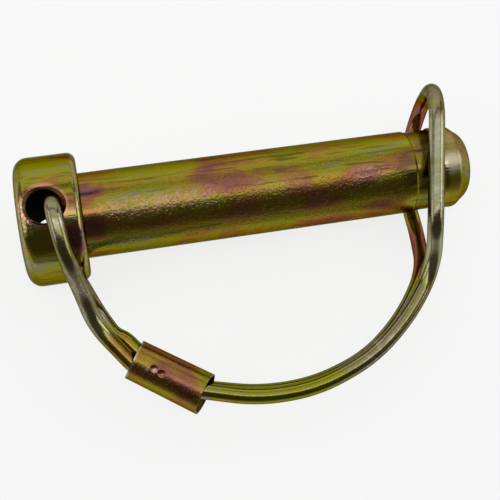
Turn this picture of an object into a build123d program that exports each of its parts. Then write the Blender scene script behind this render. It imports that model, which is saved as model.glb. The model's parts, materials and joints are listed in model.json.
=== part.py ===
from build123d import *
from math import atan, cos, degrees, inf, radians, sin, sqrt, tan
import os

# Lynch pin: a headed steel pin, a spring wire bail that turns in the head's
# cross hole and snaps over the pin's end, and a crimped sleeve that holds the
# wire's two strands together. Millimetres, +Z up.
# The origin is on the pin's axis in the plane of the shoulder under the head.
# The pin lies on its side with its tip towards +X and its bow towards -Y. It
# rests on the wire: on the bend under the head and on the eye under the tip.
# The bend is the lower of the two, so the pin dips a little towards its tip.

# Pin
shank_diameter = 12.0
shoulder_to_tip = 56.0
head_diameter = 18.0
head_length = 8.6
head_outer_rounding = 2.0
head_shoulder_rounding = 1.2

# Cross hole through the head
hole_diameter = 4.5
hole_to_shoulder = 4.9
hole_countersink = 0.75

# Turned end: a shallow seat for the wire, a land, and a nose that rounds off smoothly
seat_width = 4.3
seat_depth = 0.2
seat_side_length = 0.3
land_length = 2.0
nose_length = 2.6
nose_crown_length = 1.6
nose_crown_depth = 0.5
nose_flat_diameter = 6.8

# Spring wire
wire_diameter = 2.3
strand_gap = 0.05
meeting_gap = 0.25
wire_end_gap = 0.3
wire_end_chamfer = 0.15

# Legs of the wire, from the hole round the head to the sleeve
hole_clearance = 0.05
hole_seat_angle = 16.0
hole_bend_radius = 2.4
leg_clearance = 0.15
leg_slope = 7.0
front_leg_inset = 2.0
rear_leg_inset = 3.1
leg_bend_radius = 9.0
strand_meeting_radius = 14.0
rear_kink_radius = 3.0
rear_bulge_to_sleeve = 2.3
rear_bulge_height = 1.95
rear_bulge_lift = 0.8

# Bow of the wire, beside the shank
bow_reach = 29.0

# Eye of the wire, round the pin's end
eye_to_shoulder = 49.85
eye_clearance = 0.25
neck_to_shank = 8.8
neck_lift = 1.6
neck_setback = 1.9
eye_shoulder_radius = 6.0
eye_side_radius = 30.0
eye_top_to_shank = 5.3
eye_top_radius = 6.8

# Crimped sleeve
sleeve_length = 10.9
sleeve_wall = 0.25
sleeve_fit = 0.2
sleeve_bore_stretch = 0.16
sleeve_flare = 0.15
sleeve_strand_gap = 0.16
sleeve_along = 13.35
sleeve_to_bow_reach = 4.9
sleeve_angle = 35.4
sleeve_end_slant = 12.0
strand_depth_in_sleeve = 0.7
near_strand_shift = 0.05
far_strand_shift = 0.4
strand_bend_in_sleeve = 8.0
wire_joint_in_sleeve = 1.0
near_twist = 38.0
joint_twist = 47.0
far_twist = 78.0
crimp_dent_radius = 1.2
crimp_dent_depth = 0.17
crimp_dent_places = [(-2.4, 0.3), (-1.2, 0.5)]

# Worked out from the sizes above
shank_radius = shank_diameter / 2
head_radius = head_diameter / 2
hole_radius = hole_diameter / 2
wire_radius = wire_diameter / 2
seat_radius = shank_radius - seat_depth
nose_flat_radius = nose_flat_diameter / 2
nose_start = shoulder_to_tip - nose_length
seat_end = nose_start - land_length
seat_start = seat_end - seat_width

# Lift is measured from the pin's axis along the hole, to the wire's centre line
strand_lift = wire_radius + strand_gap / 2
meeting_lift = wire_radius + meeting_gap / 2
sleeve_strand_offset = wire_radius + sleeve_strand_gap / 2
leg_lift = head_radius + wire_radius + leg_clearance
eye_lift = seat_radius + wire_radius + eye_clearance
eye_along = hole_to_shoulder + eye_to_shoulder
leg_to_eye_foot = eye_along + 1.0
rest_pitch = degrees(atan((leg_lift - eye_lift) / leg_to_eye_foot))

pin_direction = Vector(1, 0, 0).rotate(Axis.Y, rest_pitch)
hole_direction = Vector(0, 0, 1).rotate(Axis.Y, rest_pitch)
pin_axis = Axis((0, 0, 0), pin_direction)
section_plane = Plane(origin=(0, 0, 0), x_dir=pin_direction, z_dir=(0, -1, 0))

# The bail's plane: x along the pin from the hole, -y out to the bow, z up the hole
bail_plane = Plane(origin=pin_direction * -hole_to_shoulder, x_dir=pin_direction, z_dir=hole_direction)
sleeve_drop = bow_reach - sleeve_to_bow_reach
sleeve_place = Location((sleeve_along, -sleeve_drop, 0), (0, 0, -sleeve_angle))
sleeve_plane = Plane(bail_plane.location * sleeve_place)


# Pin: head, shank, seat, land and nose are turned round one axis
with BuildPart() as pin:
    with BuildSketch(section_plane) as pin_section:
        with BuildLine():
            Polyline(
                (shoulder_to_tip, nose_flat_radius),
                (shoulder_to_tip, 0),
                (-head_length, 0),
                (-head_length, head_radius),
                (0, head_radius),
                (0, shank_radius),
                (seat_start, shank_radius),
                (seat_start + seat_side_length, seat_radius),
                (seat_end - seat_side_length, seat_radius),
                (seat_end, shank_radius),
                (nose_start, shank_radius),
            )
            Spline(
                (nose_start, shank_radius),
                (shoulder_to_tip - nose_crown_length, shank_radius - nose_crown_depth),
                (shoulder_to_tip, nose_flat_radius),
                tangents=[(1, 0), (0, -1)],
            )
        make_face()
        outer_rim = pin_section.vertices().group_by(Axis.Y)[-1].sort_by(Axis.X)[0]
        fillet(outer_rim, radius=head_outer_rounding)
        shoulder_rim = pin_section.vertices().group_by(Axis.Y)[-1].sort_by(Axis.X)[-1]
        fillet(shoulder_rim, radius=head_shoulder_rounding)
    revolve(axis=pin_axis)

    # The cross hole is drilled through the head and countersunk from both sides
    with Locations(bail_plane.offset(head_radius), (-bail_plane).offset(head_radius)):
        CounterSinkHole(hole_radius, hole_radius + hole_countersink, depth=head_radius, counter_sink_angle=90)
pin.part.label = "pin"

# Where the wire passes through the hole, and where it enters and leaves the sleeve
hole_offset = Vector(hole_radius - wire_radius - hole_clearance, 0, 0).rotate(Axis.Z, hole_seat_angle)
leg_corner_lift = leg_lift + hole_bend_radius * (tan(radians(leg_slope)) + 1 / cos(radians(leg_slope)) - 1)
sleeve_depth = sleeve_length / 2 - strand_depth_in_sleeve
near_end = (sleeve_place * Location((-sleeve_depth, 0, 0))).position
far_end = (sleeve_place * Location((sleeve_depth, 0, 0))).position
rear_bulge_along = -sleeve_length / 2 - rear_bulge_to_sleeve
neck_along = eye_along - neck_setback


def leg_point(along_share, drop, lift):
    """A point of a leg: a share of the way along from the hole to the sleeve."""
    along = hole_offset.X + along_share * (near_end.X - hole_offset.X)
    return Vector(along, -drop, lift)


def leg_drop(share):
    """How far out a leg is: a share of the way from the head's side to the sleeve."""
    return head_radius + share * (-near_end.Y - head_radius)


def leg_height(drop):
    """The lift of a leg that slopes away from its bend at the hole."""
    return leg_corner_lift - tan(radians(leg_slope)) * (drop + hole_offset.Y)


def by_the_sleeve(along_sleeve, up_from_axis, lift):
    """A point in the sleeve's own directions: along it, up towards the pin, and lifted."""
    return (sleeve_place * Location((along_sleeve, up_from_axis, lift))).position


def strand_in_sleeve(along_sleeve, twist, side, shift=0):
    """A strand's centre in the sleeve, where the two strands twist round each other."""
    up_from_axis = shift - side * sleeve_strand_offset * cos(radians(twist))
    lift = side * sleeve_strand_offset * sin(radians(twist))
    return by_the_sleeve(along_sleeve, up_from_axis, lift)


def bow_point(along_share, reach_share, lift):
    """A point of the bow: shares of its length and of its reach from the pin."""
    along = far_end.X + along_share * (neck_along - far_end.X)
    return Vector(along, -reach_share * bow_reach, lift)


def eye_point(along, drop_from_shank, lift):
    """A point of the eye: along from the seat's middle, and out past the shank's side."""
    return Vector(eye_along + along, -shank_radius - drop_from_shank, lift)


def bend_radius(before, corner, after, largest_radius):
    """The radius of a bend: as wide as the straights beside it allow, up to a limit."""
    back = before - corner
    ahead = after - corner
    half_turn = radians(180 - back.get_angle(ahead)) / 2
    room = 0.48 * min(back.length, ahead.length)
    return min(largest_radius, room / tan(half_turn))


# The wire's corners in order, each with the largest radius of its bend: up the front
# leg, through the hole, down the rear leg, through the sleeve, along the rear strand of
# the bow, round the eye and back along the front strand into the sleeve. A bend with no
# limit is as wide as the straights beside it allow.
front = 1
rear = -1
front_leg_drop = head_radius - front_leg_inset
rear_leg_drop = head_radius - rear_leg_inset
eye_far_side = -shank_diameter - eye_top_to_shank

front_leg = [
    (strand_in_sleeve(-sleeve_depth, near_twist, front, near_strand_shift), strand_bend_in_sleeve),
    (leg_point(0.40, leg_drop(0.54), meeting_lift), strand_meeting_radius),
    (leg_point(0.27, leg_drop(0.20), head_radius / 2), leg_bend_radius),
    (leg_point(0.10, front_leg_drop, leg_height(front_leg_drop)), leg_bend_radius),
    (leg_point(0.0, -hole_offset.Y, leg_corner_lift), hole_bend_radius),
]
rear_leg = [
    (leg_point(0.0, -hole_offset.Y, -leg_corner_lift), hole_bend_radius),
    (leg_point(0.17, rear_leg_drop, -leg_height(rear_leg_drop)), leg_bend_radius),
    (leg_point(0.33, leg_drop(0.10), -head_radius / 2), leg_bend_radius),
    (leg_point(0.47, leg_drop(0.38), -meeting_lift), strand_meeting_radius),
    (leg_point(0.67, leg_drop(0.645), -meeting_lift), rear_kink_radius),
    (by_the_sleeve(rear_bulge_along, rear_bulge_height, -rear_bulge_lift), rear_kink_radius),
    (strand_in_sleeve(-sleeve_depth, near_twist, rear, near_strand_shift), strand_bend_in_sleeve),
    (strand_in_sleeve(wire_joint_in_sleeve, joint_twist, rear), inf),
]
rear_bow = [
    (strand_in_sleeve(sleeve_depth, far_twist, rear, far_strand_shift), strand_bend_in_sleeve),
    (bow_point(0.235, 0.98, -strand_lift), inf),
    (bow_point(0.455, 0.98, -strand_lift), inf),
    (bow_point(0.685, 0.895, -strand_lift), inf),
    (bow_point(0.86, 0.73, -strand_lift), inf),
]
eye = [
    (eye_point(-neck_setback - 0.2, neck_to_shank, -neck_lift), inf),
    (eye_point(-0.1, 1.9, -eye_lift), eye_shoulder_radius),
    (eye_point(-0.8, -shank_radius - 0.8, -eye_lift), eye_side_radius),
    (eye_point(4.2, eye_far_side, -eye_lift), eye_top_radius),
    (eye_point(2.6, eye_far_side, eye_lift), eye_top_radius),
    (eye_point(-2.0, 3.1, eye_lift), eye_shoulder_radius),
    (eye_point(-neck_setback + 0.2, neck_to_shank, neck_lift), inf),
]
front_bow = [
    (bow_point(0.875, 0.72, strand_lift), inf),
    (bow_point(0.695, 0.895, strand_lift), inf),
    (bow_point(0.45, 1.0, strand_lift), inf),
    (bow_point(0.215, 1.0, strand_lift), inf),
    (strand_in_sleeve(sleeve_depth, far_twist, front, far_strand_shift), strand_bend_in_sleeve),
]
wire_bends = front_leg + rear_leg + rear_bow + eye + front_bow
wire_start = strand_in_sleeve(wire_joint_in_sleeve - wire_end_gap / 2, joint_twist, front)
wire_finish = strand_in_sleeve(wire_joint_in_sleeve + wire_end_gap / 2, joint_twist, front)
wire_corners = [wire_start] + [corner for corner, radius in wire_bends] + [wire_finish]
wire_radii = [
    bend_radius(wire_corners[index], corner, wire_corners[index + 2], radius)
    for index, (corner, radius) in enumerate(wire_bends)
]

# Wire bail: one round wire swept along the whole route, with sheared ends
with BuildPart() as wire_bail:
    with BuildLine(bail_plane) as wire_route:
        FilletPolyline(*[tuple(corner) for corner in wire_corners], radius=wire_radii)
    with BuildSketch(Plane(origin=wire_route.line @ 0, z_dir=wire_route.line % 0)):
        Circle(wire_radius)
    sweep(path=wire_route.line)
    sheared_ends = wire_bail.faces().filter_by(GeomType.PLANE)
    chamfer(sheared_ends.edges(), length=wire_end_chamfer)
wire_bail.part.label = "wire_bail"

# Sleeve: an oval tube crimped over both strands. Its far end is cut off a little out of
# square, and its front carries two marks of the crimping tool.
bore_half_width = sleeve_strand_offset + wire_radius + sleeve_fit
bore_half_depth = bore_half_width + sleeve_bore_stretch
tube_half_width = bore_half_width + sleeve_wall
tube_half_depth = bore_half_depth + sleeve_wall
tube_plane = Plane(
    origin=sleeve_plane.origin,
    x_dir=-sleeve_plane.y_dir,
    z_dir=sleeve_plane.x_dir,
)
slant = radians(sleeve_end_slant)
far_cut_plane = Plane(
    origin=sleeve_plane.from_local_coords((sleeve_length / 2, 0, 0)),
    z_dir=sleeve_plane.x_dir * cos(slant) + sleeve_plane.z_dir * sin(slant),
)

with BuildPart() as sleeve:
    for half_width, half_depth, mode in [
        (tube_half_width, tube_half_depth, Mode.ADD),
        (bore_half_width, bore_half_depth, Mode.SUBTRACT),
    ]:
        with BuildSketch(tube_plane.offset(-sleeve_length / 2)):
            Ellipse(half_width, half_depth)
        with BuildSketch(tube_plane.offset(sleeve_length)):
            Ellipse(half_width + 1.5 * sleeve_flare, half_depth)
        loft(mode=mode)
    split(bisect_by=far_cut_plane, keep=Keep.BOTTOM)
    for along, across in crimp_dent_places:
        surface = tube_half_depth * sqrt(1 - (across / tube_half_width) ** 2)
        dent_height = surface + crimp_dent_radius - crimp_dent_depth
        with Locations(sleeve_plane.from_local_coords((along, -across, dent_height))):
            Sphere(crimp_dent_radius, mode=Mode.SUBTRACT)
sleeve.part.label = "sleeve"

os.makedirs("parts", exist_ok=True)
export_step(pin.part, "parts/pin.step")
export_step(wire_bail.part, "parts/wire_bail.step")
export_step(sleeve.part, "parts/sleeve.step")
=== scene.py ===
# %% [markdown]
# # A plated lynch pin on a pale table
#
# A lynch pin is a short steel pin with a spring wire bail. The bail turns in a hole
# through the head, and its eye snaps over the pin's end, so that nothing can come off.
# All three pieces are steel with a yellow-passivated zinc plating. The outermost layer
# of such a plating is a very thin clear film, whose colour changes with its thickness:
# yellow green, gold, orange, pink and purple drift over one surface.
#
# The shapes come from the CAD model, so this lesson is about finishes, light and the
# camera. It starts by loading that model as a fixed frame.

# %% Load the frame
import bpy
import json
import math
from mathutils import Matrix, Vector


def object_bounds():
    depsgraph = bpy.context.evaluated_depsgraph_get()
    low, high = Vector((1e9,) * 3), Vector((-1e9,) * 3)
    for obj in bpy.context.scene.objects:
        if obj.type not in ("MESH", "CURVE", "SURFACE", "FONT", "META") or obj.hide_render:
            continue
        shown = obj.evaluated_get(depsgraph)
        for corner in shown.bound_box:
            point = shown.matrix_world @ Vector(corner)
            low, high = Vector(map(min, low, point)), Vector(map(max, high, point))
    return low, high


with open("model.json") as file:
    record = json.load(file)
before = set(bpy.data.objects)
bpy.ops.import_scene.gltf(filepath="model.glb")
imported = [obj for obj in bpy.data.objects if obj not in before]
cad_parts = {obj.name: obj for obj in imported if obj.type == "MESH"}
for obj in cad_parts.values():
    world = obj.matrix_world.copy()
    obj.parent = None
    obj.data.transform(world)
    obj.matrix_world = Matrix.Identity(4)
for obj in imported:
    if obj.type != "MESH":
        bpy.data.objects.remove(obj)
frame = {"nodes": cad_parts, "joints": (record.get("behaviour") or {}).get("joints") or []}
cad_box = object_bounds()
pin = frame["nodes"]["pin"]
wire_bail = frame["nodes"]["wire_bail"]
sleeve = frame["nodes"]["sleeve"]

# %% [markdown]
# Every finish below is placed with three directions that belong to the pin: along it
# towards the tip, sideways towards the bow, and up the cross hole. They could be typed
# in as numbers. They are read from the bail's joint instead, because the joint's axis is
# the middle of that hole, so the finish stays in place if the pin is made again.

# %% The pin's own directions
MM = 0.001
swing = frame["joints"][0]
hole_centre = Vector(swing["pos_m"])
up_the_hole = -Vector(swing["axis"]).normalized()
towards_bow = Vector((0.0, -1.0, 0.0))
along_pin = up_the_hole.cross(towards_bow).normalized()


def pin_place(along, to_bow, lift):
    """A point in metres, from millimetres in the three directions from the hole's centre."""
    return hole_centre + (along * along_pin + to_bow * towards_bow + lift * up_the_hole) * MM


print("along the pin:", tuple(round(part, 3) for part in along_pin))

# %% [markdown]
# A material is a net of nodes. Written out in full, each node takes five lines, and the
# net is hard to see. These helpers add a node and wire it in one line: an input can be
# a plain number or another node's output.

# %% Helpers for wiring nodes


def feed(tree, socket, source):
    """Give an input a plain value, or wire it to another node's output."""
    if isinstance(source, bpy.types.NodeSocket):
        tree.links.new(source, socket)
    else:
        socket.default_value = source


def add_node(tree, kind, inputs=None, **options):
    """Add a node, set its options, and feed its inputs by name or number."""
    node = tree.nodes.new(kind)
    for name, value in options.items():
        setattr(node, name, value)
    for name, source in (inputs or {}).items():
        feed(tree, node.inputs[name], source)
    return node


def calc(tree, operation, first, second=0.0, third=0.0, clamp=False):
    """One sum on numbers."""
    inputs = {0: first, 1: second, 2: third}
    return add_node(tree, "ShaderNodeMath", inputs, operation=operation, use_clamp=clamp).outputs[0]


def vector_calc(tree, operation, first, second=(0, 0, 0), output="Vector"):
    """One sum on vectors."""
    inputs = {0: first, 1: second}
    return add_node(tree, "ShaderNodeVectorMath", inputs, operation=operation).outputs[output]


print("helpers for sums ready")

# %% [markdown]
# A mask says how strongly an effect shows at each point, from 0 to 1. Most masks here
# are made from a distance, with a soft step up or down, or from a noise. Painted masks
# would do it too, but these stay sharp at any size.

# %% Helpers for masks and colours
NOISE_MIDDLE = 0.5


def ramp(tree, value, low, high, start=0.0, end=1.0):
    """A soft step: start below low, end above high, with a smooth change between."""
    inputs = {"Value": value, "From Min": low, "From Max": high, "To Min": start, "To Max": end}
    return add_node(tree, "ShaderNodeMapRange", inputs, interpolation_type="SMOOTHSTEP").outputs[0]


def fall(tree, value, low, high, start=1.0):
    """A soft step down: start below low, nothing above high."""
    return ramp(tree, value, low, high, start=start, end=0.0)


def apart(tree, value, place):
    """How far a number is from a place, on either side."""
    return calc(tree, "ABSOLUTE", calc(tree, "SUBTRACT", value, place))


def noise(tree, place, scale, detail=3.0, roughness=0.55, distortion=0.0):
    """Smooth random values from 0 to 1 over a surface."""
    inputs = {"Vector": place, "Scale": scale, "Detail": detail}
    inputs.update({"Roughness": roughness, "Distortion": distortion})
    return add_node(tree, "ShaderNodeTexNoise", inputs).outputs["Fac"]


def mix_colours(tree, share, first, second):
    """The first colour where the share is 0, the second where it is 1."""
    node = add_node(tree, "ShaderNodeMix", data_type="RGBA")
    feed(tree, node.inputs[0], share)
    feed(tree, node.inputs[6], first)
    feed(tree, node.inputs[7], second)
    return node.outputs[2]


print("helpers for masks ready")

# %% [markdown]
# An effect that several materials use becomes a node group: a box with named inputs and
# outputs, built once and placed with other values in each material. Copying its nodes
# into each material would work, but a change would then have to be made three times.

# %% Helpers for groups
NUMBER = "NodeSocketFloat"
PLACE = "NodeSocketVector"
COLOUR = "NodeSocketColor"
ORIGIN = (PLACE, (0, 0, 0))


def start_group(name, inputs, outputs):
    """Start a reusable group: returns the group, its inputs and its outputs to wire."""
    group = bpy.data.node_groups.new(name, "ShaderNodeTree")
    sockets = group.interface
    for label, (kind, value) in inputs.items():
        sockets.new_socket(name=label, in_out="INPUT", socket_type=kind).default_value = value
    for label, kind in outputs.items():
        sockets.new_socket(name=label, in_out="OUTPUT", socket_type=kind)
    entry = group.nodes.new("NodeGroupInput")
    result = group.nodes.new("NodeGroupOutput")
    return group, entry.outputs, result.inputs


def use_group(tree, group, inputs):
    """Place a group in a material with its own values."""
    node = add_node(tree, "ShaderNodeGroup", node_tree=group)
    for name, source in inputs.items():
        feed(tree, node.inputs[name], source)
    return node.outputs


print("helpers for groups ready")

# %% [markdown]
# A turned pin carries its marks in rings and lines: tool marks go round it, drawing
# marks run along it. Blender's object coordinates are a plain box of space, so this
# group turns them into a machinist's: how far along the axis, how far out from it, and
# a place stretched along the axis, in millimetres. UV coordinates would do it too, but
# the CAD mesh has none.

# %% Group: place on a turned piece


def dot(tree, first, second):
    """How far one vector reaches in the direction of another."""
    return vector_calc(tree, "DOT_PRODUCT", first, second, output="Value")


def in_millimetres(tree, place):
    """A place in millimetres, from one in metres."""
    inputs = {0: place, "Scale": 1 / MM}
    return add_node(tree, "ShaderNodeVectorMath", inputs, operation="SCALE").outputs["Vector"]


turned_place, given, out = start_group(
    "Place on a turned piece",
    {
        "Position": ORIGIN,
        "Centre": ORIGIN,
        "Axis": (PLACE, (1, 0, 0)),
        "Side": (PLACE, (0, 1, 0)),
        "Stretch": (NUMBER, 1.0),
    },
    {"Along": NUMBER, "Out": NUMBER, "Place": PLACE},
)
offset = vector_calc(turned_place, "SUBTRACT", given["Position"], given["Centre"])
from_centre = in_millimetres(turned_place, offset)
third_side = vector_calc(turned_place, "CROSS_PRODUCT", given["Axis"], given["Side"])
along = dot(turned_place, from_centre, given["Axis"])
sideways = dot(turned_place, from_centre, given["Side"])
upwards = dot(turned_place, from_centre, third_side)
up_squared = calc(turned_place, "MULTIPLY", upwards, upwards)
out_squared = calc(turned_place, "MULTIPLY_ADD", sideways, sideways, up_squared)
shortened = calc(turned_place, "DIVIDE", along, given["Stretch"])
stretched = {"X": shortened, "Y": sideways, "Z": upwards}
feed(turned_place, out["Along"], along)
feed(turned_place, out["Out"], calc(turned_place, "SQRT", out_squared))
stretched_place = add_node(turned_place, "ShaderNodeCombineXYZ", stretched).outputs[0]
feed(turned_place, out["Place"], stretched_place)
print("group:", turned_place.name)

# %% [markdown]
# The plating's colours follow its thickness in a fixed order, as a soap film's do. One
# slow noise stands for the thickness, a finer one adds flecks, and a colour ramp turns
# the sum into the colours. A few separate colour noises would be easier, but they would
# put neighbours side by side that don't meet on real plating, such as blue beside gold.

# %% Group: film colours
FLECKS_PER_PATCH = 9.0
FLECK_STRENGTH = 0.4
FILM_STEPS = [
    (0.00, (0.36, 0.34, 0.25)),
    (0.14, (0.21, 0.18, 0.10)),
    (0.30, (0.21, 0.215, 0.015)),
    (0.44, (0.26, 0.19, 0.02)),
    (0.56, (0.25, 0.135, 0.03)),
    (0.67, (0.24, 0.10, 0.045)),
    (0.78, (0.21, 0.075, 0.06)),
    (0.89, (0.15, 0.07, 0.085)),
    (1.00, (0.12, 0.15, 0.05)),
]
film_colours, given, out = start_group(
    "Film colours",
    {
        "Place": ORIGIN,
        "Patch Size": (NUMBER, 6.0),
        "Thickness": (NUMBER, 0.4),
        "Spread": (NUMBER, 0.5),
        "Extra": (NUMBER, 0.0),
    },
    {"Colour": COLOUR},
)
per_patch = calc(film_colours, "DIVIDE", 1.0, given["Patch Size"])
per_fleck = calc(film_colours, "MULTIPLY", per_patch, FLECKS_PER_PATCH)
drift = noise(film_colours, given["Place"], per_patch, detail=2.0, roughness=0.5, distortion=0.4)
flecks = noise(film_colours, given["Place"], per_fleck, detail=2.0)
slow = calc(film_colours, "SUBTRACT", drift, NOISE_MIDDLE)
slow = calc(film_colours, "MULTIPLY_ADD", slow, given["Spread"], given["Thickness"])
fine = calc(film_colours, "SUBTRACT", flecks, NOISE_MIDDLE)
fine = calc(film_colours, "MULTIPLY_ADD", fine, FLECK_STRENGTH, slow)
film = calc(film_colours, "ADD", fine, given["Extra"], clamp=True)
film_ramp = add_node(film_colours, "ShaderNodeValToRGB", {"Fac": film})
stops = film_ramp.color_ramp.elements
while len(stops) < len(FILM_STEPS):
    stops.new(1.0)
for stop, (thickness, colour) in zip(stops, FILM_STEPS):
    stop.position = thickness
    stop.color = (*colour, 1.0)
feed(film_colours, out["Colour"], film_ramp.outputs["Color"])
print("group:", film_colours.name, "with", len(FILM_STEPS), "colours")

# %% [markdown]
# Some colour patches have a known place, such as the purple ring beside the head. This
# group gives a soft round mask at a point, with a wavy border. A painted image could do
# the same, but a mask from a distance has no seams and no pixels.

# %% Group: soft spot
WAVES_PER_METRE = 450.0
soft_spot, given, out = start_group(
    "Soft spot",
    {
        "Position": ORIGIN,
        "Middle": ORIGIN,
        "Reach": (NUMBER, 0.003),
        "Softness": (NUMBER, 0.5),
    },
    {"Mask": NUMBER},
)
distance = vector_calc(soft_spot, "DISTANCE", given["Position"], given["Middle"], output="Value")
uneven = noise(soft_spot, given["Position"], WAVES_PER_METRE, detail=2.0)
waves = calc(soft_spot, "SUBTRACT", uneven, NOISE_MIDDLE)
wavy = calc(soft_spot, "MULTIPLY_ADD", waves, given["Reach"], distance)
share = calc(soft_spot, "DIVIDE", wavy, given["Reach"])
inner = calc(soft_spot, "SUBTRACT", 1.0, given["Softness"])
feed(soft_spot, out["Mask"], fall(soft_spot, share, inner, 1.0))
print("group:", soft_spot.name)

# %% [markdown]
# Plated steel often isn't smooth. In the photograph the shank carries a fine grain of
# pits and peaks that sparkles in the light. The group makes a height from two
# noises and thins it out with a mask, so that the same grain can be strong on the
# shank's middle and weak on the wire. It also puts out where the surface is dull and
# where the peaks are. Real displacement would need millions of faces for the same look.

# %% Group: plating grain
PIT_SHARE = 0.6
plating_grain, given, out = start_group(
    "Plating grain",
    {
        "Place": ORIGIN,
        "Grain Size": (NUMBER, 0.25),
        "Depth": (NUMBER, 0.01),
        "Cover": (NUMBER, 1.0),
    },
    {"Height": NUMBER, "Dull": NUMBER, "Peaks": NUMBER},
)
per_grain = calc(plating_grain, "DIVIDE", 1.0, given["Grain Size"])
crystals = noise(plating_grain, given["Place"], per_grain, detail=3.0, roughness=0.65)
cells = {"Vector": given["Place"], "Scale": per_grain}
pits = add_node(plating_grain, "ShaderNodeTexVoronoi", cells, feature="F1").outputs["Distance"]
pit_floor = calc(plating_grain, "MULTIPLY", ramp(plating_grain, pits, 0.05, 0.45), PIT_SHARE)
surface = calc(plating_grain, "ADD", crystals, pit_floor)
deep = calc(plating_grain, "MULTIPLY", surface, given["Depth"])
feed(plating_grain, out["Height"], calc(plating_grain, "MULTIPLY", deep, given["Cover"]))
feed(plating_grain, out["Dull"], calc(plating_grain, "MULTIPLY", crystals, given["Cover"]))
feed(plating_grain, out["Peaks"], ramp(plating_grain, crystals, 0.45, 0.68))
print("group:", plating_grain.name)

# %% [markdown]
# Edges lose their plating first, where parts knock together in the box. On a turned
# piece every edge is a ring, at a known place along the axis and a known distance out
# from it, so the wear is a mask round that ring, broken up with noise. Blender's
# pointiness would find edges too, but only on a much denser mesh.

# %% Group: worn ring
NIBBLES_PER_MM = 1.6
NIBBLE_DEPTH = 1.6
worn_ring, given, out = start_group(
    "Worn ring",
    {
        "Place": ORIGIN,
        "Along": (NUMBER, 0.0),
        "Out": (NUMBER, 0.0),
        "Edge Along": (NUMBER, 0.0),
        "Edge Out": (NUMBER, 0.0),
        "Width": (NUMBER, 0.3),
    },
    {"Mask": NUMBER},
)
side_step = calc(worn_ring, "SUBTRACT", given["Along"], given["Edge Along"])
out_step = calc(worn_ring, "SUBTRACT", given["Out"], given["Edge Out"])
out_step_squared = calc(worn_ring, "MULTIPLY", out_step, out_step)
squares = calc(worn_ring, "MULTIPLY_ADD", side_step, side_step, out_step_squared)
distance = calc(worn_ring, "DIVIDE", calc(worn_ring, "SQRT", squares), given["Width"])
nibbles = noise(worn_ring, given["Place"], NIBBLES_PER_MM, detail=4.0, roughness=0.7)
ragged = calc(worn_ring, "MULTIPLY_ADD", nibbles, NIBBLE_DEPTH, distance)
feed(worn_ring, out["Mask"], fall(worn_ring, ragged, 0.75, 1.6))
print("group:", worn_ring.name)

# %% [markdown]
# Long marks run along the pin and the sleeve: drawing lines, and scratches from use.
# They are a noise squeezed hard across the axis, cut so that only its peaks stay. Single
# curves laid on the surface would catch the light too, but they would need one object
# for each scratch.

# %% Group: drawing lines
LINE_EDGE = 0.08
FADES_PER_MM = 0.6
drawing_lines, given, out = start_group(
    "Drawing lines",
    {
        "Place": ORIGIN,
        "Line Width": (NUMBER, 0.2),
        "Rarity": (NUMBER, 0.6),
    },
    {"Mask": NUMBER},
)
per_line = calc(drawing_lines, "DIVIDE", 1.0, given["Line Width"])
lines = noise(drawing_lines, given["Place"], per_line, detail=2.0, roughness=0.6)
rare = calc(drawing_lines, "ADD", given["Rarity"], LINE_EDGE)
sharp = ramp(drawing_lines, lines, given["Rarity"], rare)
fade = noise(drawing_lines, given["Place"], FADES_PER_MM, detail=1.0)
fade = ramp(drawing_lines, fade, 0.35, 0.6)
feed(drawing_lines, out["Mask"], calc(drawing_lines, "MULTIPLY", sharp, fade))
print("group:", drawing_lines.name)

# %% [markdown]
# All three materials start in the same way: a metal surface shader, and the position on
# the piece. The position is the object coordinate, which stays with the piece when the
# bail swings. Blender's plain metal turns almost white where it is seen at a glancing
# angle. In the photograph the pin's long edges stay darker than that, so the tint of
# the glancing light is turned down.

# %% Start of a plated material
GLANCING_TINT = (0.32, 0.32, 0.27, 1)
BUMP_STRENGTH = 0.8
SPOT_SOFTNESS = 0.7


def start_plated(name):
    """A new material with a metal shader: returns it, its tree, its shader and the position."""
    material = bpy.data.materials.new(name)
    material.use_nodes = True
    tree = material.node_tree
    shader = tree.nodes["Principled BSDF"]
    shader.inputs["Metallic"].default_value = 1.0
    shader.inputs["Specular Tint"].default_value = GLANCING_TINT
    position = add_node(tree, "ShaderNodeTexCoord").outputs["Object"]
    return material, tree, shader, position


def place_on(tree, position, centre, axis, side, stretch):
    """A machinist's coordinates round one axis of a piece."""
    values = {"Position": position, "Centre": centre, "Axis": axis, "Side": side}
    return use_group(tree, turned_place, {**values, "Stretch": stretch})


def add_spots(tree, position, spots):
    """The sum of soft spots, each a place, a reach in millimetres and a strength."""
    total = 0.0
    for place, reach, strength in spots:
        values = {"Position": position, "Middle": place, "Reach": reach * MM}
        mask = use_group(tree, soft_spot, {**values, "Softness": SPOT_SOFTNESS})["Mask"]
        total = calc(tree, "MULTIPLY_ADD", mask, strength, total)
    return total


def add_bump(tree, shader, height):
    """Tilt the surface as a height in millimetres would."""
    inputs = {"Height": height, "Distance": MM, "Strength": BUMP_STRENGTH}
    feed(tree, shader.inputs["Normal"], add_node(tree, "ShaderNodeBump", inputs).outputs[0])


def dress(node, material):
    """Put one material on a CAD node."""
    for slot in node.material_slots:
        slot.material = material
    print(node.name, "wears", material.name)


print("glancing tint:", GLANCING_TINT[:3])

# %% [markdown]
# The pin is one turned piece. Its places are measured in millimetres from the shoulder,
# the flat ring under the head, because that is where a machinist would measure from.
# The cross hole has coordinates of its own, round its own axis. The same group gives
# them all, and only the stretch differs: colours drift along the pin, drawing lines run
# far along it, and the grain is nearly round.

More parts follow.
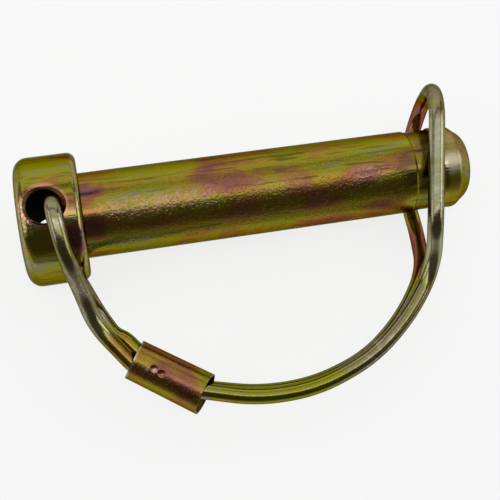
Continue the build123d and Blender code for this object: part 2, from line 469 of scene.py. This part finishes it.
# %% Pin: places on it
pin_finish, tree, shader, position = start_plated("plated_pin")
HOLE_TO_SHOULDER = 4.9
SHOULDER = pin_place(HOLE_TO_SHOULDER, 0.0, 0.0)
HEAD_FACE = -8.3
SHANK_END = 47.1
SEAT_MIDDLE = 49.25
NOSE_START = 51.4
on_pin = place_on(tree, position, SHOULDER, along_pin, towards_bow, 4.0)
on_hole = place_on(tree, position, hole_centre, up_the_hole, along_pin, 1.0)
for_grain = place_on(tree, position, hole_centre, along_pin, towards_bow, 1.3)
for_lines = place_on(tree, position, hole_centre, along_pin, towards_bow, 14.0)
print("shoulder at", tuple(round(part, 4) for part in SHOULDER), "m")

# %% [markdown]
# The pin's plating is yellow green on the shank with pink and orange stretches, and
# purple in a ring beside the head. The film colours drift freely, and soft spots push
# the film thicker or thinner where a patch has a known place. Each spot is a place from
# the hole's centre, a reach in millimetres, and how much the film gains or loses.

# %% Pin: colours of the film
PIN_SPOTS = [
    (pin_place(5.9, -1.5, 5.9), 2.8, 0.36),
    (pin_place(6.2, 3.5, 4.8), 2.6, 0.34),
    (pin_place(24.5, -2.2, 5.6), 5.5, 0.20),
    (pin_place(27.5, 1.2, 5.8), 4.5, 0.14),
    (pin_place(34.5, 0.6, 5.9), 4.0, 0.27),
    (pin_place(44.0, 1.5, 5.8), 3.0, 0.12),
    (pin_place(27.0, 5.4, 2.6), 6.0, 0.16),
    (pin_place(38.0, 5.4, 2.6), 6.5, 0.22),
    (pin_place(50.5, 0.2, 5.9), 2.6, 0.10),
    (pin_place(34.5, -3.0, 5.2), 4.0, -0.12),
    (pin_place(12.0, -5.0, 3.4), 3.4, -0.12),
    (pin_place(52.7, 5.1, 2.8), 2.6, -0.16),
    (pin_place(0.5, -7.5, 5.0), 4.5, -0.12),
    (pin_place(1.3, -3.6, 8.2), 2.6, 0.12),
    (pin_place(-1.0, 8.0, 4.0), 5.0, -0.10),
    (pin_place(3.2, 5.0, 7.4), 3.6, 0.28),
    (pin_place(3.6, 0.5, 8.7), 2.6, 0.22),
    (pin_place(-3.0, 5.4, 6.8), 2.2, 0.12),
]
film = use_group(tree, film_colours, {
    "Place": on_pin["Place"],
    "Patch Size": 3.0,
    "Thickness": 0.42,
    "Spread": 1.15,
    "Extra": add_spots(tree, position, PIN_SPOTS),
})
print("pin film spots:", len(PIN_SPOTS))

# %% [markdown]
# The grain is coarse on the shank between the shoulder and the wire's seat, and fine on
# the head and the nose. Along the top of the shank its peaks are painted pale and pink: a
# painted sparkle highlight where the top light catches them, standing also for rubbed
# peaks. So a narrow line is cut out of the spots and shown on the peaks alone. Pale dots
# painted over the grain would float beside its bumps.

# %% Pin: grain, and a painted sparkle on the peaks
FINE_COVER = 0.2
COARSE_COVER = 0.8
TOP_LINE = 0.9
# Painted sparkle highlight: pale pink on the grain's peaks along the top line, where the top light
# catches them, also standing for rubbed peaks.
PIN_RUBBED_SPARKLE = [
    (pin_place(11.5, 1.0, 5.9), 7.0, 1.0),
    (pin_place(19.0, 1.0, 5.9), 6.5, 0.9),
    (pin_place(31.0, 1.0, 5.9), 7.0, 0.3),
    (pin_place(45.0, 1.0, 5.9), 3.2, 0.9),
]
past_shoulder = ramp(tree, on_pin["Along"], 1.0, 5.0)
before_seat = fall(tree, on_pin["Along"], 44.5, SHANK_END)
on_shank = calc(tree, "MULTIPLY", past_shoulder, before_seat)
grain = use_group(tree, plating_grain, {
    "Place": for_grain["Place"],
    "Grain Size": 0.36,
    "Depth": 0.045,
    "Cover": calc(tree, "MULTIPLY_ADD", on_shank, COARSE_COVER, FINE_COVER),
})
sideways = add_node(tree, "ShaderNodeSeparateXYZ", {0: for_grain["Place"]}).outputs["Y"]
top_line = fall(tree, apart(tree, sideways, TOP_LINE), 0.7, 2.0)
rubbed_and_highlight = calc(tree, "MULTIPLY", add_spots(tree, position, PIN_RUBBED_SPARKLE), top_line)
on_peaks = calc(tree, "MULTIPLY_ADD", grain["Peaks"], 0.8, 0.1)
rubbed_and_highlight = calc(tree, "MULTIPLY", rubbed_and_highlight, on_peaks)
print("rubbed stretches:", len(PIN_RUBBED_SPARKLE))

# %% [markdown]
# Wear and painted light have their own masks: the head's two rims, a few bare places by
# the shoulder and on the nose, one of which is a painted highlight, drawing lines along the
# pin, painted shade in and before the wire's seat, under the wire, and the cross hole,
# which is copper brown at its rim, chipped bright on one side and painted dark inside as shade.
# The drawing lines stop at the head's flat end, where they would show as pits.

# %% Pin: masks of wear and painted light
RIM_SHARE = 0.5
SEAT_SHARE = 0.45
RIMS = [(HEAD_FACE, 8.2, 1.3), (-0.4, 8.8, 0.7)]
# The rims are worn bare. The first spot here, on top of the nose, is a painted highlight, pale
# where the nose starts to round.
PIN_BARE_AND_HIGHLIGHT = [
    (pin_place(57.4, 0.9, 5.9), 2.0, 0.9),
    (pin_place(59.0, -1.0, 5.0), 5.0, 0.25),
    (pin_place(3.4, 1.8, 8.5), 1.8, 0.25),
]
HOLE_CHIPS = [
    (pin_place(-2.9, 0.2, 8.6), 1.5, 1.6),
    (pin_place(-2.0, 2.6, 8.4), 1.5, 1.4),
]
# Painted shade: the seat and the stretch before it are darkened where the wire shades the groove.
SEAT_SHADE_SPOTS = [
    (pin_place(50.9, 0.6, 5.9), 2.8, 0.6),
]
rims = 0.0
for edge_along, edge_out, width in RIMS:
    ring = {name: on_pin[name] for name in ("Place", "Along", "Out")}
    ring.update({"Edge Along": edge_along, "Edge Out": edge_out, "Width": width})
    rims = calc(tree, "MAXIMUM", rims, use_group(tree, worn_ring, ring)["Mask"])
rims = calc(tree, "MULTIPLY", rims, RIM_SHARE)
bare_and_highlight = calc(tree, "MAXIMUM", rims, add_spots(tree, position, PIN_BARE_AND_HIGHLIGHT), clamp=True)
lines = {"Place": for_lines["Place"], "Line Width": 0.5, "Rarity": 0.54}
beside_end = ramp(tree, on_pin["Along"], HEAD_FACE, -7.3)
scored = calc(tree, "MULTIPLY", use_group(tree, drawing_lines, lines)["Mask"], beside_end)
chips = calc(tree, "MULTIPLY", add_spots(tree, position, HOLE_CHIPS), grain["Peaks"], clamp=True)
near_hole = fall(tree, on_hole["Out"], 2.9, 3.4)
# Painted shade: the inside of the cross hole is painted nearly black.
in_hole = fall(tree, on_hole["Out"], 2.3, 2.5)
# Painted shade: a dark ring in and before the wire's seat.
in_seat = fall(tree, apart(tree, on_pin["Along"], SEAT_MIDDLE), 1.2, 2.2)
in_seat = calc(tree, "MULTIPLY", in_seat, SEAT_SHARE)
seat_shade = calc(tree, "MAXIMUM", in_seat, add_spots(tree, position, SEAT_SHADE_SPOTS))
print("worn rims:", len(RIMS), "bare places:", len(PIN_BARE_AND_HIGHLIGHT), "chips:", len(HOLE_CHIPS))

# %% [markdown]
# The pin's colour is then laid down in layers: the film, the dark lines in it, the painted
# sparkle on the rubbed peaks, the bare places with the painted highlight on the nose, the
# copper brown rim of the hole, its chips, the painted shade in the wire's seat, and the
# painted shade inside the hole. Each mask mixes in one colour, and a later layer covers
# an earlier one. Adding all the colours up would turn them pale.

# %% Pin: colour
LINE_SHARE = 0.55
LAYERS = [
    (calc(tree, "MULTIPLY", scored, LINE_SHARE), (0.05, 0.035, 0.02, 1)),
    # painted sparkle highlight on the rubbed peaks
    (rubbed_and_highlight, (0.42, 0.25, 0.20, 1)),
    # bare wear, and a painted highlight on the nose
    (bare_and_highlight, (0.44, 0.38, 0.26, 1)),
    (near_hole, (0.46, 0.22, 0.12, 1)),
    (chips, (0.62, 0.52, 0.38, 1)),
    # painted shade in and before the wire's seat
    (seat_shade, (0.07, 0.055, 0.03, 1)),
    # painted shade inside the hole
    (in_hole, (0.02, 0.014, 0.012, 1)),
]
colour = film["Colour"]
for mask, layer in LAYERS:
    colour = mix_colours(tree, mask, colour, layer)
feed(tree, shader.inputs["Base Color"], colour)
print("layers over the film:", len(LAYERS))

# %% [markdown]
# Gloss and relief follow the same masks. The grain makes the shank duller, the drawn
# lines are shallow and dull, the nose is matt from wear, and the hole shines little.
# One plain roughness would look like lacquer.

# %% Pin: gloss and relief
on_nose = ramp(tree, on_pin["Along"], NOSE_START, 52.4)
dullness = calc(tree, "MULTIPLY_ADD", grain["Dull"], 0.26, 0.13)
scuffed = calc(tree, "MULTIPLY_ADD", scored, 0.15, dullness)
matt = calc(tree, "MULTIPLY_ADD", on_nose, 0.2, calc(tree, "MULTIPLY", in_hole, 0.5))
feed(tree, shader.inputs["Roughness"], calc(tree, "ADD", scuffed, matt, clamp=True))
add_bump(tree, shader, calc(tree, "MULTIPLY_ADD", scored, -0.006, grain["Height"]))
dress(pin, pin_finish)

# %% [markdown]
# The spring wire is smooth, and its plating is even and shiny: pale green gold along
# the bow, pink on the rear strand, orange on the leg beside the sleeve, and paler on the
# front of the eye, at its bend and by the hole, where it looks rubbed; these pale patches
# are also a painted highlight. A wire has no one axis, so its film drifts in plain space,
# with no stretch.

# %% Wire: colours
wire_finish, tree, shader, position = start_plated("plated_wire")
on_wire = in_millimetres(tree, position)
RUBBED_WIRE_AND_HIGHLIGHT = (0.42, 0.44, 0.28, 1)
WIRE_SPOTS = [
    (pin_place(57.6, -9.5, -5.5), 10.0, 0.60),
    (pin_place(52.9, 11.4, -3.1), 9.0, 0.56),
    (pin_place(1.0, 6.0, 9.5), 4.0, 0.10),
    (pin_place(7.6, 19.5, 1.8), 5.0, 0.34),
    (pin_place(20.0, 28.2, 0.8), 4.0, 0.20),
    (pin_place(28.0, 28.0, 0.0), 12.0, 0.16),
]
# Pale patches: partly rubbed plating, partly a painted highlight along the wire.
WIRE_RUBBED_AND_HIGHLIGHTS = [
    (pin_place(54.4, -2.0, 8.2), 5.0, 0.5),
    (pin_place(53.0, 4.5, 8.4), 4.0, 0.35),
    (pin_place(52.8, 13.5, 4.5), 5.0, 0.65),
    (pin_place(5.4, 15.4, 3.0), 3.5, 0.4),
    (pin_place(0.5, 2.5, 9.8), 3.0, 0.25),
]
film = use_group(tree, film_colours, {
    "Place": on_wire,
    "Patch Size": 8.0,
    "Thickness": 0.14,
    "Spread": 0.30,
    "Extra": add_spots(tree, position, WIRE_SPOTS),
})
rubbed_and_highlight = add_spots(tree, position, WIRE_RUBBED_AND_HIGHLIGHTS)
feed(tree, shader.inputs["Base Color"], mix_colours(tree, rubbed_and_highlight, film["Colour"], RUBBED_WIRE_AND_HIGHLIGHT))
print("wire film spots:", len(WIRE_SPOTS), "rubbed places:", len(WIRE_RUBBED_AND_HIGHLIGHTS))

# %% [markdown]
# The wire has very little grain. A trace of it is kept in the gloss and the relief, or
# the wire would look like glass beside the pin.

# %% Wire: gloss and relief
grain = use_group(tree, plating_grain, {
    "Place": on_wire,
    "Grain Size": 0.25,
    "Depth": 0.008,
    "Cover": 1.0,
})
feed(tree, shader.inputs["Roughness"], calc(tree, "MULTIPLY_ADD", grain["Dull"], 0.14, 0.12))
add_bump(tree, shader, grain["Height"])
dress(wire_bail, wire_finish)

# %% [markdown]
# The sleeve is thin tube, pressed over the two strands. Its plating is browner, with
# orange and pink along the front and a greener patch on each long side. It lies at an
# angle to the pin. Its own axis could be measured on the mesh, but the angle is known,
# so its coordinates are simply turned to run along it.

# %% Sleeve: places and colours of the film
sleeve_finish, tree, shader, position = start_plated("plated_sleeve")
SLEEVE_CENTRE = pin_place(13.35, 24.1, 0.0)
SLEEVE_TURN = math.radians(35.4)
SLEEVE_HALF = 5.45
along_sleeve = along_pin * math.cos(SLEEVE_TURN) + towards_bow * math.sin(SLEEVE_TURN)
on_sleeve = place_on(tree, position, SLEEVE_CENTRE, along_sleeve, up_the_hole, 2.5)
SLEEVE_SPOTS = [
    (pin_place(12.4, 23.4, 2.8), 2.4, 0.16),
    (pin_place(15.4, 25.0, 2.7), 3.2, 0.16),
    (pin_place(11.5, 22.0, 2.6), 3.0, 0.04),
    (pin_place(12.0, 25.6, 1.8), 3.0, -0.14),
    (pin_place(18.2, 24.8, 1.8), 2.6, -0.20),
]
film = use_group(tree, film_colours, {
    "Place": on_sleeve["Place"],
    "Patch Size": 4.0,
    "Thickness": 0.55,
    "Spread": 0.7,
    "Extra": add_spots(tree, position, SLEEVE_SPOTS),
})
print("sleeve film spots:", len(SLEEVE_SPOTS))

# %% [markdown]
# The sleeve's two sheared ends are worn bright. By the two dents of the crimping tool,
# two small pale spots are a painted highlight, where the dents catch the light. The ends
# are rings, but the tube is oval, so their mask is made from the place along the sleeve
# alone, and not from a ring of one radius.

# %% Sleeve: worn ends and painted highlights
WORN_SLEEVE_AND_HIGHLIGHT = (0.50, 0.47, 0.38, 1)
END_SHARE = 0.55
# Painted highlight: two small pale spots by the crimp dents.
SLEEVE_DENT_HIGHLIGHTS = [
    (pin_place(10.3, 22.8, 2.8), 0.45, 0.7),
    (pin_place(11.3, 23.2, 2.9), 0.45, 0.6),
]
worn_and_highlight = add_spots(tree, position, SLEEVE_DENT_HIGHLIGHTS)
for end_along in (-SLEEVE_HALF, SLEEVE_HALF):
    from_end = apart(tree, on_sleeve["Along"], end_along)
    worn_and_highlight = calc(tree, "MAXIMUM", worn_and_highlight, fall(tree, from_end, 0.1, 0.35, start=END_SHARE))
feed(tree, shader.inputs["Base Color"], mix_colours(tree, worn_and_highlight, film["Colour"], WORN_SLEEVE_AND_HIGHLIGHT))
print("crimp marks:", len(SLEEVE_DENT_HIGHLIGHTS))

# %% [markdown]
# Fine drawing lines run along the tube, and a little grain lies between them. The same
# two groups as on the pin give both, with smaller values.

# %% Sleeve: gloss and relief
scored = use_group(tree, drawing_lines, {
    "Place": on_sleeve["Place"],
    "Line Width": 0.16,
    "Rarity": 0.6,
})["Mask"]
grain = use_group(tree, plating_grain, {
    "Place": on_sleeve["Place"],
    "Grain Size": 0.3,
    "Depth": 0.012,
    "Cover": 1.0,
})
dullness = calc(tree, "MULTIPLY_ADD", grain["Dull"], 0.18, 0.16)
feed(tree, shader.inputs["Roughness"], calc(tree, "MULTIPLY_ADD", scored, 0.2, dullness))
add_bump(tree, shader, calc(tree, "MULTIPLY_ADD", scored, -0.008, grain["Height"]))
dress(sleeve, sleeve_finish)

# %% [markdown]
# The table is one large pale sheet under the part, at the height of the lowest point of
# its wire. To the camera, and in shiny and clear surfaces, it is mostly plain white, as
# the ground of the photograph is. The rest is lit paper, which keeps the part's soft
# shadow. More light on the table would make it white too, but would bleach the metal.

# %% The table
WHITE_SHARE = 0.8
FLOOR_REACH = 1.5
floor_height = cad_box[0][2]
floor_mesh = bpy.data.meshes.new("table")
corners = [(x * FLOOR_REACH, y * FLOOR_REACH, 0) for x, y in ((-1, -1), (1, -1), (1, 1), (-1, 1))]
floor_mesh.from_pydata(corners, [], [(0, 1, 2, 3)])
table = bpy.data.objects.new("table", floor_mesh)
table.location.z = floor_height
bpy.context.scene.collection.objects.link(table)
table_finish = bpy.data.materials.new("pale_table")
table_finish.use_nodes = True
tree = table_finish.node_tree
paper = tree.nodes["Principled BSDF"]
paper.inputs["Base Color"].default_value = (0.9, 0.9, 0.9, 1)
paper.inputs["Roughness"].default_value = 0.9
ray = add_node(tree, "ShaderNodeLightPath").outputs
seen = calc(tree, "ADD", ray["Is Camera Ray"], ray["Is Glossy Ray"])
seen = calc(tree, "ADD", seen, ray["Is Transmission Ray"], clamp=True)
white = add_node(tree, "ShaderNodeEmission", {"Color": (1, 1, 1, 1), "Strength": 1.0})
sheet = add_node(tree, "ShaderNodeMixShader", {0: calc(tree, "MULTIPLY", seen, WHITE_SHARE)})
feed(tree, sheet.inputs[1], paper.outputs[0])
feed(tree, sheet.inputs[2], white.outputs[0])
feed(tree, tree.nodes["Material Output"].inputs["Surface"], sheet.outputs[0])
floor_mesh.materials.append(table_finish)
print("table at", round(floor_height, 5), "m")

# %% [markdown]
# Shiny metal shows its surroundings, so the light has to be built as carefully as the
# finish. The bands along the pin are the room seen in a round mirror: a bright soft box
# beyond the pin, another overhead, and a thin tube beside that one for the bright line
# along the top. A box past each end lights the nose and the head. One big lamp would be
# simpler, but it would give one broad highlight and no bands.

# %% Soft light
LIT_PLACE = pin_place(25.0, 8.0, 0.0)


def soft_box(name, direction, distance, width, height, brightness):
    """A rectangular lamp that faces the pin, with its brightness in display units."""
    lamp = bpy.data.lights.new(name, "AREA")
    lamp.shape = "RECTANGLE"
    lamp.size = width
    lamp.size_y = height
    lamp.energy = brightness * math.pi * width * height
    box = bpy.data.objects.new(name, lamp)
    bpy.context.scene.collection.objects.link(box)
    pointing = Vector(direction).normalized()
    box.location = LIT_PLACE + pointing * distance
    box.rotation_euler = pointing.to_track_quat("Z", "Y").to_euler()
    print(name, "at", tuple(round(part, 2) for part in box.location))


soft_box("far_box", (0.0, 0.936, 0.352), 0.6, 1.1, 0.45, 0.85)
soft_box("top_box", (0.0, 0.276, 0.961), 0.6, 1.0, 0.58, 0.80)
soft_box("top_tube", (0.0, -0.07, 0.998), 0.58, 0.9, 0.12, 1.15)
soft_box("right_box", (0.9, 0.0, 0.42), 0.6, 0.5, 0.3, 1.8)
soft_box("left_box", (-0.9, 0.1, 0.42), 0.6, 0.5, 0.3, 1.2)

# %% [markdown]
# The rest of the room is the world: pale grey all round, with two dark strips that run
# along the pin, a broad one overhead on the bow's side, where a photographer would
# stand, and a narrow one between the far box and the top box. Without them the metal
# would reflect light everywhere and look like plastic. The strips come from directions
# alone. A picture of a studio would do it too, but the file uses no images.

# %% The room
ROOM_GREY = (0.32, 0.32, 0.31, 1)
STRIP_DARK = (0.09, 0.08, 0.07, 1)
DARK_STRIPS = [
    (Vector((0.0, -0.68, 0.73)), 0.80, 0.88),
    (Vector((0.0, 0.713, 0.701)), 0.990, 0.997),
]
room = bpy.data.worlds.new("room")
room.use_nodes = True
tree = room.node_tree
direction = add_node(tree, "ShaderNodeTexCoord").outputs["Generated"]
flattened = vector_calc(tree, "MULTIPLY", direction, (0, 1, 1))
across = vector_calc(tree, "NORMALIZE", flattened)
grey = ROOM_GREY
for strip_middle, outer, inner in DARK_STRIPS:
    in_strip = ramp(tree, dot(tree, across, strip_middle), outer, inner)
    grey = mix_colours(tree, in_strip, grey, STRIP_DARK)
feed(tree, tree.nodes["Background"].inputs["Color"], grey)
bpy.context.scene.world = room
print("room with", len(DARK_STRIPS), "dark strips")

# %% [markdown]
# The camera looks down on the part from about fourteen centimetres, a little from the
# head's side and from the bow's side, with a slightly long lens. It is placed from the
# hole's centre in the pin's own directions, which is how the photograph was measured.

# %% Camera
camera_place = pin_place(5.053, 31.816, 133.802)
camera_aim = pin_place(27.374, 8.237, 0.0)
picture_up = 0.1423 * along_pin - 0.9705 * towards_bow + 0.1948 * up_the_hole
backwards = (camera_place - camera_aim).normalized()
rightwards = picture_up.cross(backwards).normalized()
upwards = backwards.cross(rightwards)
turned = Matrix((rightwards, upwards, backwards)).transposed().to_4x4()
lens = bpy.data.cameras.new("camera")
lens.lens = 69.67
lens.sensor_width = 36.0
lens.clip_start = 0.005
camera = bpy.data.objects.new("camera", lens)
bpy.context.scene.collection.objects.link(camera)
camera.matrix_world = Matrix.Translation(camera_place) @ turned
bpy.context.scene.camera = camera
print("camera distance:", round((camera_place - camera_aim).length, 4), "m")

# %% [markdown]
# Colours are shown plainly, with no film look on top, so that a colour renders as it is
# written.

# %% Finish
bpy.context.scene.view_settings.view_transform = "Standard"
print("colours shown as:", bpy.context.scene.view_settings.view_transform)
